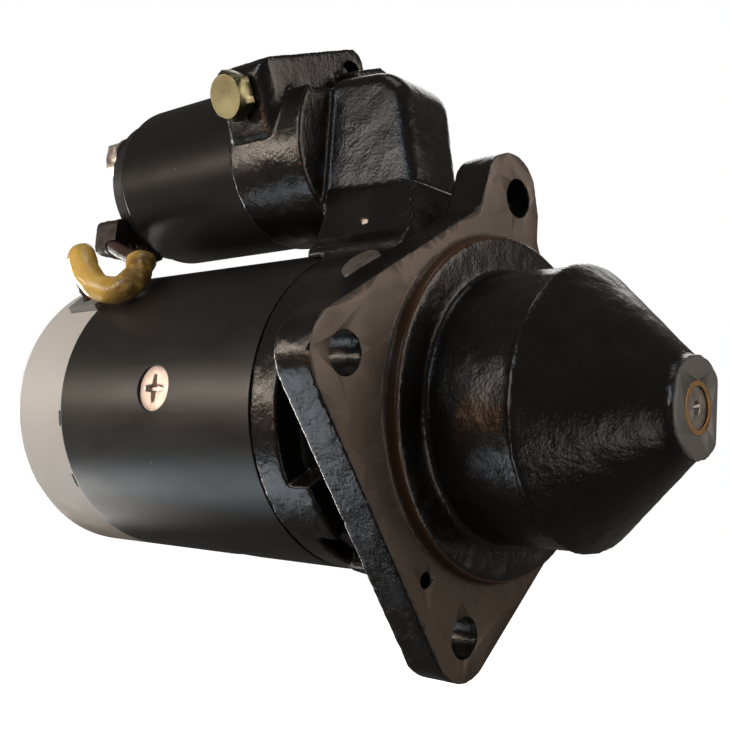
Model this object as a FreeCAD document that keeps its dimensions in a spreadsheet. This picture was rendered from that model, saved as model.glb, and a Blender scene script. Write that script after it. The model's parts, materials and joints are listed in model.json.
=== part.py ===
import FreeCAD, Part
import math
import os
import Sketcher

# Starter motor with a closed nose and a piggyback solenoid.
# Frame: +X runs along the armature shaft towards the nose, +Z towards the solenoid.
# Origin: the shaft axis in the mounting face of the drive end flange. Sizes in millimetres.

os.makedirs("parts", exist_ok=True)
doc = FreeCAD.newDocument("starter_motor")
sheet = doc.addObject("Spreadsheet::Sheet", "dims")

DIMENSIONS = {
    # main tube and rear cover
    "yoke_radius": 57.5,
    "yoke_bore": 51.0,
    "yoke_front": -57.9,
    "yoke_rear": -168.85,
    "cover_end": -204.0,
    "cover_wall": 4.0,
    # drive end housing
    "flange_thick": 15.0,
    "flange_rim": 58.5,
    "lug_radius": 14.2,
    "bolt_hole": 6.75,
    "pilot_radius": 56.2,
    "pilot_height": 5.06,
    "nose_radius": 43.9,
    "nose_shoulder": 35.5,
    "cone_radius": 44.7,
    "tip_radius": 15.4,
    "tip_start": 68.0,
    "nose_end": 70.2,
    "nose_bore": 38.5,
    "neck_radius": 47.0,
    "neck_bore": 40.0,
    "band_front": -45.2,
    # solenoid and its clamp on the housing
    "solenoid_height": 99.83,
    "solenoid_radius": 34.0,
    "solenoid_front": -107.0,
    "spigot_radius": 22.0,
    "spigot_front": -84.0,
    "ring_radius": 35.0,
    "ring_front": -68.0,
    "bar_front": -79.0,
    "bar_tilt": 22.7,
    "bar_top": 39.0,
    "lock_offset": 28.0,
    "lock_station": -93.5,
    # shaft and bearings
    "shaft_radius": 9.0,
    "spline_radius": 8.0,
    "nose_journal": 6.25,
    "rear_journal": 6.0,
    "bush_outer": 8.0,
    "running_gap": 0.04,
    # armature and poles
    "core_radius": 37.4,
    "core_rear": -142.0,
    "core_front": -78.0,
    "pole_bore": 38.2,
    "pole_angle": -2.0,
    "pole_station": -110.2,
    "commutator_radius": 21.0,
    # drive
    "pinion_rest": 12.0,
    "pinion_length": 20.0,
    "pinion_module": 2.75,
    "clutch_radius": 28.0,
    # lever and plunger
    "pivot_station": -44.0,
    "pivot_height": 60.0,
    "pivot_radius": 4.0,
    "pivot_seat": 26.0,
    "plunger_radius": 9.5,
    "cap_radius": 31.2,
    "cap_end": -187.5,
}

for row, (alias, value) in enumerate(DIMENSIONS.items(), start=1):
    sheet.set("A%d" % row, alias)
    sheet.set("B%d" % row, str(value))
    sheet.setAlias("B%d" % row, alias)
doc.recompute()

X_AXIS = FreeCAD.Vector(1, 0, 0)
Y_AXIS = FreeCAD.Vector(0, 1, 0)
ALONG_X = FreeCAD.Rotation(Y_AXIS, 90)
ALONG_Y = FreeCAD.Rotation(X_AXIS, -90)
SKETCH_YZ = FreeCAD.Rotation(FreeCAD.Vector(1, 1, 1), 120)
SKETCH_XZ = FreeCAD.Rotation(X_AXIS, 90)
SOLENOID = "dims.solenoid_height"

nodes = []


def size(alias):
    return float(sheet.get(alias))


def node(item, label):
    """Mark a finished object as a sub-part of the starter motor."""
    item.Label = label
    nodes.append(item)
    return item


def bind(item, **expressions):
    for name, expression in expressions.items():
        item.setExpression(name.replace("_at_", "."), str(expression))


def place(item, x="0", y="0", z="0", rotation=None):
    if rotation is not None:
        item.Placement = FreeCAD.Placement(FreeCAD.Vector(0, 0, 0), rotation)
    for axis, expression in (("x", x), ("y", y), ("z", z)):
        item.setExpression("Placement.Base." + axis, str(expression))
    return item


def rod(start, end, radius, y="0", z="0"):
    """Cylinder along X between two stations."""
    item = doc.addObject("Part::Cylinder", "rod")
    bind(item, Radius=radius, Height="(%s) - (%s)" % (end, start))
    return place(item, start, y, z, ALONG_X)


def cross_rod(start, end, radius, x="0", z="0"):
    """Cylinder along Y between two stations."""
    item = doc.addObject("Part::Cylinder", "cross_rod")
    bind(item, Radius=radius, Height="(%s) - (%s)" % (end, start))
    return place(item, x, start, z, ALONG_Y)


def taper(start, end, first, last, y="0", z="0"):
    """Cone along X, from one radius at its start to another at its end."""
    item = doc.addObject("Part::Cone", "taper")
    bind(item, Radius1=first, Radius2=last, Height="(%s) - (%s)" % (end, start))
    return place(item, start, y, z, ALONG_X)


def block(x, y, z):
    """Box from three (low, high) pairs."""
    item = doc.addObject("Part::Box", "block")
    bind(
        item,
        Length="(%s) - (%s)" % (x[1], x[0]),
        Width="(%s) - (%s)" % (y[1], y[0]),
        Height="(%s) - (%s)" % (z[1], z[0]),
    )
    return place(item, x[0], y[0], z[0])


def sector(start, end, radius, low, high):
    """Pie slice about X between two angles measured from +Y towards +Z."""
    item = rod(start, end, radius)
    item.Angle = high - low
    turn = FreeCAD.Rotation(X_AXIS, low + 90.0)
    item.Placement = FreeCAD.Placement(item.Placement.Base, turn * ALONG_X)
    bind(item, Placement_at_Base_at_x=start)
    return item


def fuse(*items):
    item = doc.addObject("Part::MultiFuse", "joined")
    item.Shapes = list(items)
    item.Refine = True
    return item


def cut(base, *tools):
    item = doc.addObject("Part::Cut", "trimmed")
    item.Base = base
    item.Tool = tools[0] if len(tools) == 1 else fuse(*tools)
    item.Refine = True
    return item


def common(first, second):
    item = doc.addObject("Part::Common", "shared")
    item.Base = first
    item.Tool = second
    return item


def spun(item, angle):
    """Turn an object about the shaft line; one with a bound place is held in a compound."""
    if item.ExpressionEngine:
        holder = doc.addObject("Part::Compound", "held")
        holder.Links = [item]
        item = holder
    return carried(item, FreeCAD.Vector(), FreeCAD.Rotation(X_AXIS, angle))


def rounded(base, radius, chosen):
    """Fillet the edges that a test picks."""
    doc.recompute()
    item = doc.addObject("Part::Fillet", "rounded")
    item.Base = base
    picks = [i for i, edge in enumerate(base.Shape.Edges, start=1) if chosen(edge)]
    item.Edges = [(i, radius, radius) for i in picks]
    return item


def profile(points, rotation, offset):
    """Closed sketch of straight runs, and of arcs where a point has a middle point."""
    sketch = doc.addObject("Sketcher::SketchObject", "outline")
    corners = [FreeCAD.Vector(p[0], p[1], 0) for p in points]
    ends = []
    for here, there, entry in zip(corners, corners[1:] + corners[:1], points):
        forward = True
        if len(entry) == 4:
            middle = FreeCAD.Vector(entry[2], entry[3], 0)
            sketch.addGeometry(Part.Arc(here, middle, there), False)
            forward = (middle - here).cross(there - middle).z > 0
        else:
            sketch.addGeometry(Part.LineSegment(here, there), False)
        ends.append((1, 2) if forward else (2, 1))
    for index in range(len(points)):
        after = (index + 1) % len(points)
        pair = (index, ends[index][1], after, ends[after][0])
        sketch.addConstraint(Sketcher.Constraint("Coincident", *pair))
    sketch.Placement = FreeCAD.Placement(offset, rotation)
    return sketch


def extruded(sketch, length):
    item = doc.addObject("Part::Extrusion", "extruded")
    item.Base = sketch
    item.DirMode = "Normal"
    item.Solid = True
    bind(item, LengthFwd=length)
    return item


def column(radius, length, foot=0.0):
    """Cylinder along its own Z, still to be carried to its place."""
    item = doc.addObject("Part::Cylinder", "column")
    bind(item, Radius=radius, Height=length)
    item.Placement.Base.z = foot
    return item


def slab(x, y, z):
    """Box from three (low, high) pairs of plain numbers, still to be carried to its place."""
    item = doc.addObject("Part::Box", "slab")
    bind(item, Length=x[1] - x[0], Width=y[1] - y[0], Height=z[1] - z[0])
    item.Placement.Base = FreeCAD.Vector(x[0], y[0], z[0])
    return item


def carried(item, base, rotation):
    """Carry an object from where it was built to its place."""
    item.Placement = FreeCAD.Placement(base, rotation).multiply(item.Placement)
    return item


def aimed(item, station, radius, angle):
    """Stand an object, built along its own Z, outwards from the shaft at an angle from +Y."""
    turn = FreeCAD.Rotation(X_AXIS, angle)
    base = turn.multVec(FreeCAD.Vector(0, radius, 0))
    base.x = station
    return carried(item, base, turn.multiply(ALONG_Y))


def aimed_x(item, station, place_yz):
    """Lay an object, built along its own Z, along the shaft direction."""
    return carried(item, FreeCAD.Vector(station, *place_yz), ALONG_X)


def polar(radius, angle):
    turn = math.radians(angle)
    return (radius * math.cos(turn), radius * math.sin(turn))


def aimed_along(item, station, radius, angle):
    """As aimed_x, at a radius and angle about the shaft."""
    return aimed_x(item, station, polar(radius, angle))


def hex_prism(flats, depth):
    """Hexagon standing on XY and rising along Z."""
    item = doc.addObject("Part::Prism", "hexagon")
    item.Polygon = 6
    item.Circumradius = flats / math.sqrt(3.0)
    item.Height = depth
    return item


# ---------------------------------------------------------------- drive end housing
BOLT_PLACES = {"top": (72.5, 85.5), "left": (74.1, 173.5), "bottom": (74.2, 261.4)}
TILT = size("bar_tilt")
PLATE_LEFT = 217.2
PLATE_TOP = 123.0
PLATE_RIGHT = -44.8
THROUGH_ANGLES = (43.0, 223.0)
THROUGH_RADIUS = 47.0
SCREW_STATION = -23.0
SCREW_ANGLE = 137.5


def lug_point(name, angle):
    """Point on the round end of a flange lug, in the direction of an edge's normal."""
    centre = polar(*BOLT_PLACES[name])
    out = polar(size("lug_radius"), angle)
    return (centre[0] + out[0], centre[1] + out[1])


def flange_outline():
    rim = size("flange_rim")
    low_right = polar(rim, PLATE_RIGHT)
    bottom_middle = lug_point("bottom", -93.8)
    left_middle = lug_point("left", 170.0)
    far_rim = polar(rim, 10.0)
    return [
        low_right + far_rim,
        polar(rim, 64.8) + (19.3, 57.8),
        (18.1, 62.0),
        (18.1, 69.0),
        (14.8, 79.8, 2.5, 87.0),
        (-10.8, 79.5),
        (-13.9, 68.0, -15.3, 64.6),
        (-17.8, 62.4),
        lug_point("left", PLATE_TOP) + left_middle,
        lug_point("left", PLATE_LEFT),
        lug_point("bottom", PLATE_LEFT) + bottom_middle,
        lug_point("bottom", PLATE_RIGHT),
    ]


def tilted(item, along, across, station):
    """Lay an object in the clamp bar's own directions: across the ring and away from its axis."""
    turn = FreeCAD.Rotation(X_AXIS, TILT)
    base = turn.multVec(FreeCAD.Vector(0, along, across))
    base.x = station
    base.z += size("solenoid_height")
    return carried(item, base, turn)


def lock_axis(item):
    """Lay an object, built along its own Z, on the lock bolt's line; Z = 0 is beside the ring's axis."""
    item.Placement = FreeCAD.Placement(FreeCAD.Vector(), ALONG_Y).multiply(item.Placement)
    return tilted(item, 0.0, size("lock_offset"), size("lock_station"))


def clamp_bar():
    bar = doc.addObject("Part::Box", "bar")
    bar_near = -34.2
    bar_length = 56.0
    bar_foot = 12.0
    bind(bar, Length="dims.bar_front - dims.solenoid_front")
    bind(bar, Height="dims.bar_top - %s" % bar_foot)
    bar.Width = bar_length
    tilted(bar, bar_near, bar_foot, size("solenoid_front"))

    def end_tops(edge):
        middle = edge.CenterOfMass
        near = middle.y < -30.0 and middle.z > size("solenoid_height") - 2.0
        return near or middle.z > size("solenoid_height") + 44.0

    return rounded(bar, 6.0, end_tops)


def clamp_ring():
    """Ring round the solenoid's spigot, flattened and relieved in front of the clamp bar."""
    ring = rod("dims.solenoid_front", "dims.ring_front", "dims.ring_radius", z=SOLENOID)
    depth = size("ring_front") - size("bar_front") + 1.0
    flat = doc.addObject("Part::Box", "flat")
    bind(flat, Length=depth, Width=80.0, Height=20.0)
    tilted(flat, -40.0, 29.2, size("bar_front"))
    relief = doc.addObject("Part::Box", "relief")
    bind(relief, Length=depth, Width=26.0, Height=20.0)
    tilted(relief, -22.0, 24.0, size("bar_front"))
    return cut(ring, flat, relief)


def round_corner(before, corner, after, radius):
    """Two outline entries that replace a corner with a tangent arc."""
    here = FreeCAD.Vector(*corner, 0)
    back = (FreeCAD.Vector(*before, 0) - here).normalize()
    ahead = (FreeCAD.Vector(*after, 0) - here).normalize()
    half_opening = back.getAngle(ahead) / 2.0
    reach = radius / math.tan(half_opening)
    inward = (back + ahead).normalize()
    middle = here + inward * (radius / math.sin(half_opening) - radius)
    enter = here + back * reach
    leave = here + ahead * reach
    return [(enter.x, enter.y, middle.x, middle.y), (leave.x, leave.y)]


def over_yoke(item):
    """Trim what overhangs the yoke's front end so that it stands just clear of the tube."""
    return cut(item, rod("-70", "dims.yoke_front", "dims.yoke_radius + 0.3"))


def lever_hump():
    """Cast cover over the lever: a side profile trimmed by a tapering plan."""
    rear = -68.5
    top = 122.3
    foot = 45.0
    brow = (-40.2, top)
    toe = (-22.2, foot)
    side = [(rear, foot), (rear, top)]
    side += round_corner((rear, top), brow, toe, 15.0)
    side += [toe]
    half_depth = 24.0
    offset = FreeCAD.Vector(0, half_depth, 0)
    body = extruded(profile(side, SKETCH_XZ, offset), 2.0 * half_depth)
    plan = [(rear - 1.0, -19.2), (-20.0, -11.5), (-20.0, 11.5), (rear - 1.0, 19.2)]
    column = extruded(profile(plan, FreeCAD.Rotation(), FreeCAD.Vector(0, 0, foot - 1.0)), 90.0)
    hump = over_yoke(common(body, column))

    def upper_side(edge):
        middle = edge.CenterOfMass
        return abs(middle.y) > 10.0 and middle.x > rear + 1.0 and middle.z > foot + 1.0

    return rounded(hump, 6.0, upper_side)


def saddle():
    """Foot of the lever cover, spread over the housing, with its front sloped like the cover's."""
    near = [(-19.5, 77.0), (-24.5, 58.0), (-28.5, 54.0), (-28.5, 49.5), (-26.0, 49.5), (-26.0, 36.0)]
    far = [(28.0, 36.0), (28.0, 49.5), (33.0, 49.5), (33.0, 52.5), (19.0, 77.0)]
    foot = extruded(profile(far + near, SKETCH_YZ, FreeCAD.Vector(-66.0, 0, 0)), 54.0)
    slope = [(-66.0, 35.0), (-66.0, 78.0), (-26.5, 78.0), (-16.3, 35.0)]
    half_depth = 40.0
    trim = extruded(profile(slope, SKETCH_XZ, FreeCAD.Vector(0, half_depth, 0)), 2.0 * half_depth)
    return over_yoke(common(foot, trim))


def pinion_window():
    """Opening for the ring gear on the far side of the nose."""
    return block(("8", "47"), ("6", "60"), ("-25", "25"))


def housing_outside():
    plate = extruded(profile(flange_outline(), SKETCH_YZ, FreeCAD.Vector(-15, 0, 0)), "dims.flange_thick")
    pilot = rod("-1", "dims.pilot_height", "dims.pilot_radius")
    nose = rod("-15", "dims.nose_shoulder", "dims.nose_radius")
    shoulder = rod("dims.nose_shoulder - 0.3", "dims.nose_shoulder + 0.6", "dims.cone_radius")
    cone = taper("dims.nose_shoulder + 0.6", "dims.tip_start", "dims.cone_radius", "dims.tip_radius")
    tip = rod("dims.tip_start", "dims.nose_end", "dims.tip_radius")
    neck = rod("dims.yoke_front", "-14", "dims.neck_radius")
    band = rod("dims.yoke_front", "dims.band_front", "dims.yoke_radius")
    register = rod("dims.yoke_front - 3", "dims.yoke_front", "dims.yoke_bore - 0.1")
    upper_web = sector("dims.band_front", "-14", "dims.yoke_radius", 20.0, 150.0)
    short_web = sector("dims.band_front", "-35.5", "dims.yoke_radius", -149.0, -126.0)
    leaf_web = sector("dims.band_front + 3", "-14", "54", -126.0, -107.0)
    foot_web = sector("dims.band_front", "-14", "dims.yoke_radius + 1.5", -108.0, -60.0)
    far_web = sector("dims.band_front", "-14", "dims.yoke_radius", -25.0, 0.0)
    solids = [plate, pilot, nose, shoulder, cone, tip, neck, band, register]
    solids += [upper_web, short_web, leaf_web, foot_web, far_web]
    solids += [clamp_ring(), clamp_bar(), lever_hump(), saddle()]
    return fuse(*solids)


def housing_hollows():
    """Everything bored, cored or drilled out of the casting."""
    hollows = [
        rod("dims.yoke_front - 4", "-15", "dims.neck_bore"),
        rod("-16", "33", "dims.nose_bore"),
        taper("33", "54", "dims.nose_bore", "14"),
        rod("53", "dims.nose_end + 1", "dims.bush_outer"),
        pinion_window(),
        rod("dims.solenoid_front - 1", "dims.spigot_front", "dims.spigot_radius", z=SOLENOID),
        rod("dims.spigot_front - 1", "-41.5", "14", z=SOLENOID),
        block(("-62", "-41.5"), ("-11", "11"), ("60", "dims.solenoid_height + 6")),
        block(("-61", "-29"), ("-16", "16"), ("50", "71")),
        block(("-57.5", "-25"), ("-22.6", "22.6"), ("20", "56")),
        cross_rod("-23", "45", "dims.pivot_radius", "dims.pivot_station", "dims.pivot_height"),
        cross_rod("dims.pivot_seat", "45", "7.2", "dims.pivot_station", "dims.pivot_height"),
    ]
    for angle in THROUGH_ANGLES:
        hollows.append(aimed_along(column("2.55", "17"), -62.5, THROUGH_RADIUS, angle))
    for radius, angle in BOLT_PLACES.values():
        y, z = polar(radius, angle)
        hollows.append(rod("-16", "1", "dims.bolt_hole", str(y), str(z)))
    blind_depth = 6.0
    hollows.append(rod(str(-blind_depth), "1", "2.6", "-32", "-55.3"))
    hollows.append(rod("-84", "-78", "4.8", "1.5", "132"))
    hollows.append(aimed(column("3.2", "30"), SCREW_STATION, 36.0, SCREW_ANGLE))
    hollows.append(lock_axis(column("5.2", "70", foot=-40.0)))
    tip_flat = block(("61", "71"), ("12.2", "30"), ("-30", "30"))
    hollows.append(tip_flat)
    return hollows


def drive_end_housing():
    """One casting, kept as two nodes that meet in the plane of the pilot's end."""
    casting = cut(housing_outside(), *housing_hollows())
    reach = ("-150", "150")
    node(cut(casting, block(("dims.pilot_height", "100"), reach, reach)), "drive_end_housing")
    node(common(casting, block(("dims.pilot_height", "100"), reach, reach)), "nose_casting")


def nose_bush():
    bore = "dims.nose_journal + dims.running_gap"
    shell = rod("54", "dims.nose_end", "dims.bush_outer")
    node(cut(shell, rod("53", "dims.nose_end + 1", bore)), "nose_bush")


# ---------------------------------------------------------------- yoke and poles
POLES = 4
QUARTER = 90.0


def pole_angles():
    return [size("pole_angle") + QUARTER * index for index in range(POLES)]


def yoke():
    tube = rod("dims.yoke_rear", "dims.yoke_front", "dims.yoke_radius")
    cutters = [rod("dims.yoke_rear - 1", "dims.yoke_front + 1", "dims.yoke_bore")]
    sink_depth = 5.0
    for angle in pole_angles():
        sink = doc.addObject("Part::Cone", "sink")
        bind(sink, Radius1="5.2", Radius2="9.6", Height=sink_depth + 0.5)
        cutters.append(aimed(sink, size("pole_station"), size("yoke_radius") - sink_depth, angle))
        cutters.append(aimed(column("5.2", "20"), size("pole_station"), 45.0, angle))
    node(cut(tube, *cutters), "yoke")


def pole_shoe(index, angle):
    """Pole piece, built towards +Y and then turned to its place."""
    outer = size("yoke_bore")
    neck_half = 14.0
    face_half = 25.0
    neck = block(("dims.core_rear + 2", "dims.core_front - 2"), ("38", outer + 2.0), (-neck_half, neck_half))
    foot = block(("dims.core_rear + 2", "dims.core_front - 2"), ("20", "42"), (-face_half, face_half))
    envelope = cut(
        rod("dims.core_rear", "dims.core_front", outer),
        rod("dims.core_rear - 1", "dims.core_front + 1", "dims.pole_bore"),
    )
    thread = cross_rod("40", "60", "5", "dims.pole_station")
    shoe = cut(common(fuse(neck, foot), envelope), thread)
    node(spun(shoe, angle), "pole_shoe_%d" % index)


def pole_screw(index, angle):
    """Countersunk screw with a cross recess."""
    head_top = size("yoke_radius") - 0.7
    head_height = 4.0
    recess = 2.2
    shank_length = 12.0
    arm = (-5.0, 5.0)
    width = (-1.2, 1.2)
    head = doc.addObject("Part::Cone", "head")
    bind(head, Radius1="5", Radius2="8.3", Height=head_height)
    head.Placement.Base.z = -head_height
    shank = column("4.98", shank_length, foot=-head_height - shank_length)
    slots = [slab(x, y, (-recess, 1.0)) for x, y in ((arm, width), (width, arm))]
    screw = cut(fuse(head, shank), *slots)
    node(aimed(screw, size("pole_station"), head_top, angle), "pole_screw_%d" % index)


def field_coils():
    """Four flat coils, one round each pole piece, joined by a strap at the rear."""
    coils = []
    for angle in pole_angles():
        outside = block(("-149", "-71"), ("42.6", "51"), ("-24", "24"))
        window = block(("-140.4", "-79.6"), ("40", "53"), ("-14.6", "14.6"))
        envelope = rod("-150", "-70", "dims.yoke_bore - 0.4")
        coils.append(spun(common(cut(outside, window), envelope), angle))
    strap = cut(rod("-148.5", "-146.5", "50"), rod("-149", "-146", "41.5"))
    passages = [
        aimed_along(column("3.2", "90"), -155.0, THROUGH_RADIUS, angle) for angle in THROUGH_ANGLES
    ]
    node(cut(fuse(*coils, strap), *passages), "field_coils")


# ---------------------------------------------------------------- rear cover and brush gear
GROMMET_ANGLE = 134.0
NOTCH_ANGLES = (-171.0, -145.0, -60.0, -20.0, 60.0, 100.0)


def rear_cover():
    shell = rod("dims.cover_end", "dims.yoke_rear", "dims.yoke_radius")
    rear_edge = size("cover_end")
    shell = rounded(shell, 5.0, lambda edge: abs(edge.CenterOfMass.x - rear_edge) < 0.01)
    inside = rod(
        "dims.cover_end + dims.cover_wall", "dims.yoke_rear + 1", "dims.yoke_radius - dims.cover_wall"
    )
    boss = rod("dims.cover_end + 1", "-186", "13")
    cutters = [rod("-201.5", "-185", "9")]
    for angle in NOTCH_ANGLES:
        notch = slab((-1.4, 0.2), (-3.0, 3.0), (-1.8, 2.0))
        cutters.append(aimed(notch, size("yoke_rear"), size("yoke_radius"), angle))
    for angle in THROUGH_ANGLES:
        cutters.append(aimed_along(column("2.8", "12"), size("cover_end") - 1.0, THROUGH_RADIUS, angle))
    opening = slab((0.0, 21.0), (-7.0, 7.0), (0.0, 14.0))
    cutters.append(aimed(opening, -188.5, 50.0, GROMMET_ANGLE))
    node(cut(fuse(cut(shell, inside), boss), *cutters), "rear_cover")


def rear_bush():
    bore = "dims.rear_journal + dims.running_gap"
    node(cut(rod("-201.5", "-186", "9"), rod("-202", "-185", bore)), "rear_bush")


def through_bolt(index, angle):
    """Long bolt that holds the rear cover, yoke and housing together."""
    head = hex_prism(8.0, 3.5)
    shank = column("2.5", "158", foot=3.4)
    bolt = fuse(head, shank)
    head_back = size("cover_end") - 3.5
    node(aimed_along(bolt, head_back, THROUGH_RADIUS, angle), "through_bolt_%d" % index)


def brush_gear():
    """Brush plate with its four boxes, and a carbon brush and spring in each."""
    plate = cut(rod("-182.5", "-180.5", "53"), rod("-183", "-180", "23"))
    boxes = []
    hollows = []
    for index, angle in enumerate(pole_angles(), start=1):
        boxes.append(spun(block(("-180.6", "-162"), ("23.5", "45"), ("-7", "7")), angle))
        hollows.append(spun(block(("-179", "-163.5"), ("22", "43.5"), ("-5.2", "5.2")), angle))
        face = size("commutator_radius") + 0.1
        body = block(("-178.6", "-163.9"), ("19", "36"), ("-5", "5"))
        brush = cut(body, rod("-190", "-150", face))
        node(spun(brush, angle), "brush_%d" % index)
        spring = cut(column("3.6", "7.3"), column("2.6", "7.3"))
        node(aimed(spring, -171.2, 36.1, angle), "brush_spring_%d" % index)
    bolt_holes = [
        aimed_along(column("3", "6"), -184.0, THROUGH_RADIUS, angle) for angle in THROUGH_ANGLES
    ]
    lead_notch = aimed(slab((-3.0, 3.0), (-9.5, 9.5), (43.0, 56.0)), -181.5, 0.0, GROMMET_ANGLE)
    node(cut(fuse(plate, *boxes), *hollows, *bolt_holes, lead_notch), "brush_plate")


def grommet():
    hole = column("3.3", "20", foot=-5.0)
    hole.Placement.Base.x = 8.0
    body = cut(slab((0.0, 19.0), (-6.8, 6.8), (0.0, 9.2)), hole)
    node(aimed(body, -188.2, 50.4, GROMMET_ANGLE), "lead_grommet")


# ---------------------------------------------------------------- armature
def turned(steps):
    """Turned piece from (start, end, radius) steps."""
    return fuse(*[rod(start, end, radius) for start, end, radius in steps])


def armature_shaft():
    shaft = turned(
        [
            ("-200.5", "-184", "dims.rear_journal"),
            ("-184", "-54", "dims.shaft_radius"),
            ("-54", "50", "dims.spline_radius"),
            ("50", "dims.nose_end - 0.6", "dims.nose_journal"),
        ]
    )
    centre_drill = taper("dims.nose_end - 2.6", "dims.nose_end", "0.2", "2.6")
    node(cut(shaft, centre_drill), "armature_shaft")


SLOTS = 19


def armature_core():
    core = cut(
        rod("dims.core_rear", "dims.core_front", "dims.core_radius"),
        rod("dims.core_rear - 1", "dims.core_front + 1", "dims.shaft_radius"),
    )
    slots = []
    for index in range(SLOTS):
        slot = block(("dims.core_rear - 1", "dims.core_front + 1"), ("26", "40"), ("-1.9", "1.9"))
        slots.append(spun(slot, 360.0 * index / SLOTS))
    node(cut(core, *slots), "armature_core")


def armature_winding():
    pieces = []
    for index in range(SLOTS):
        bar = block(("-146", "-74"), ("26.1", "36.4"), ("-1.8", "1.8"))
        pieces.append(spun(bar, 360.0 * index / SLOTS))
    for start, end in (("-153", "dims.core_rear - 0.1"), ("dims.core_front + 0.1", "-69.5")):
        pieces.append(cut(rod(start, end, "35.5"), rod(start + " - 1", end + " + 1", "13")))
    node(fuse(*pieces), "armature_winding")


def commutator():
    ring = fuse(rod("-179", "-156", "dims.commutator_radius"), rod("-156", "-153.2", "25"))
    node(cut(ring, rod("-180", "-153", "dims.shaft_radius")), "commutator")


def stop_ring():
    ring = cut(rod("50.1", "52.8", "10.5"), rod("50", "53", "dims.nose_journal"))
    node(ring, "stop_ring")


def centre_bearing():
    """Plate between armature and drive, with its bush pressed in."""
    plate = fuse(rod("-66", "-61", "dims.yoke_bore - 0.1"), rod("-67.5", "-58.5", "12"))
    holes = [aimed_along(column("3", "8"), -67.0, THROUGH_RADIUS, angle) for angle in THROUGH_ANGLES]
    bore = rod("-68", "-58", "dims.shaft_radius + dims.running_gap")
    node(cut(plate, bore, *holes), "centre_bearing_plate")


# ---------------------------------------------------------------- drive
PINION_TEETH = 11


def drive_sleeve():
    """Splined sleeve with the groove for the lever's fork."""
    sleeve = turned(
        [
            ("-54", "-36", "12"),
            ("-54", "-52", "17"),
            ("-44.5", "-42.5", "17"),
        ]
    )
    node(cut(sleeve, rod("-55", "-30", "dims.spline_radius + dims.running_gap")), "drive_sleeve")


def clutch_shell():
    shell = cut(rod("-42.4", "-14.4", "dims.clutch_radius"), rod("-36", "-12", "17.6"))
    node(cut(shell, rod("-43", "-35", "12")), "clutch_shell")


def clutch_cover():
    cover = cut(rod("-14.4", "-11", "dims.clutch_radius + 1.2"), rod("-15", "-10", "13.4"))
    node(cover, "clutch_cover")


def pinion_outline():
    """Spur teeth with straight flanks, narrowing to the tip."""
    module = size("pinion_module")
    pitch = module * PINION_TEETH / 2.0
    tip = pitch + 1.05 * module
    root = pitch - 1.1 * module
    step = 360.0 / PINION_TEETH
    points = []
    for index in range(PINION_TEETH):
        middle = index * step
        for radius, share in ((root, -0.34), (tip, -0.13), (tip, 0.13), (root, 0.34)):
            points.append(polar(radius, middle + share * step))
    return points


def pinion():
    gear = extruded(
        profile(pinion_outline(), SKETCH_YZ, FreeCAD.Vector(size("pinion_rest"), 0, 0)),
        "dims.pinion_length",
    )
    tooth_lead = taper("dims.pinion_rest - 2", "dims.pinion_rest + dims.pinion_length", "30", "17")
    gear = common(gear, tooth_lead)
    neck = rod("-35.6", "dims.pinion_rest + 1", "13")
    race = rod("-35.6", "-14.8", "17")
    bore = rod("-37", "40", "dims.spline_radius + dims.running_gap + 0.02")
    node(cut(fuse(gear, neck, race), bore), "pinion")


# ---------------------------------------------------------------- lever and solenoid
FORK_REST = 4.1
ARM_REST = 7.5


def leaned(item, angle):
    """Lean an object built over the pivot about the pivot's own line."""
    pivot = FreeCAD.Vector(size("pivot_station"), 0, size("pivot_height"))
    lean = FreeCAD.Placement(FreeCAD.Vector(), FreeCAD.Rotation(Y_AXIS, angle), pivot)
    item.Placement = lean
    return item


def shift_lever():
    """Forked lever at rest: tongue up in the plunger link, pads down in the drive's groove."""
    x, z = size("pivot_station"), size("pivot_height")
    hub = cross_rod("-15", "15", "8", "dims.pivot_station", "dims.pivot_height")
    tongue_height = z + 41.3
    tongue = cross_rod("-4", "4", "4", "dims.pivot_station", tongue_height)
    upper = block((x - 3.0, x + 3.0), ("-4", "4"), (z, tongue_height))
    raised = leaned(fuse(tongue, upper), -ARM_REST)
    pieces = [hub, raised]
    lower = [block((x - 4.0, x + 4.0), ("-21.5", "21.5"), ("44", "52"))]
    for side in (-1.0, 1.0):
        inner, outer = sorted((side * 17.5, side * 21.5))
        lower.append(block((x - 3.2, x + 3.2), (inner, outer), ("-4", "50")))
        pad_in, pad_out = sorted((side * 12.9, side * 18.0))
        lower.append(cross_rod(str(pad_in), str(pad_out), "3.2", "dims.pivot_station", "0"))
    lower.append(block((x - 3.5, x + 3.5), ("-15", "15"), ("50", z)))
    pieces.append(leaned(fuse(*lower), FORK_REST))
    bore = cross_rod("-30", "30", "dims.pivot_radius + 0.05", "dims.pivot_station", "dims.pivot_height")
    node(cut(fuse(*pieces), bore), "shift_lever")


def lever_pivot_pin():
    place_xz = ("dims.pivot_station", "dims.pivot_height")
    pin = cross_rod("-22.5", "dims.pivot_seat + 1", "dims.pivot_radius - 0.01", *place_xz)
    head = cross_rod("dims.pivot_seat", "dims.pivot_seat + 4", "6.5", *place_xz)
    node(fuse(pin, head), "lever_pivot_pin")


def solenoid_case():
    tube = rod("-176.5", "dims.solenoid_front", "dims.solenoid_radius", z=SOLENOID)
    rim = taper("-181", "-176.5", "31.2", "dims.solenoid_radius", z=SOLENOID)
    spigot = rod("dims.solenoid_front - 1", "dims.spigot_front", "dims.spigot_radius - 0.02", z=SOLENOID)
    inside = rod("-182", "-110", "30.5", z=SOLENOID)
    groove = cut(
        rod("-99", "-88", "23", z=SOLENOID),
        rod("-100", "-87", "20.6", z=SOLENOID),
    )
    bore = rod("-111", "-83", "dims.plunger_radius + 0.06", z=SOLENOID)
    node(cut(fuse(tube, rim, spigot), inside, groove, bore), "solenoid_case")


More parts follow.
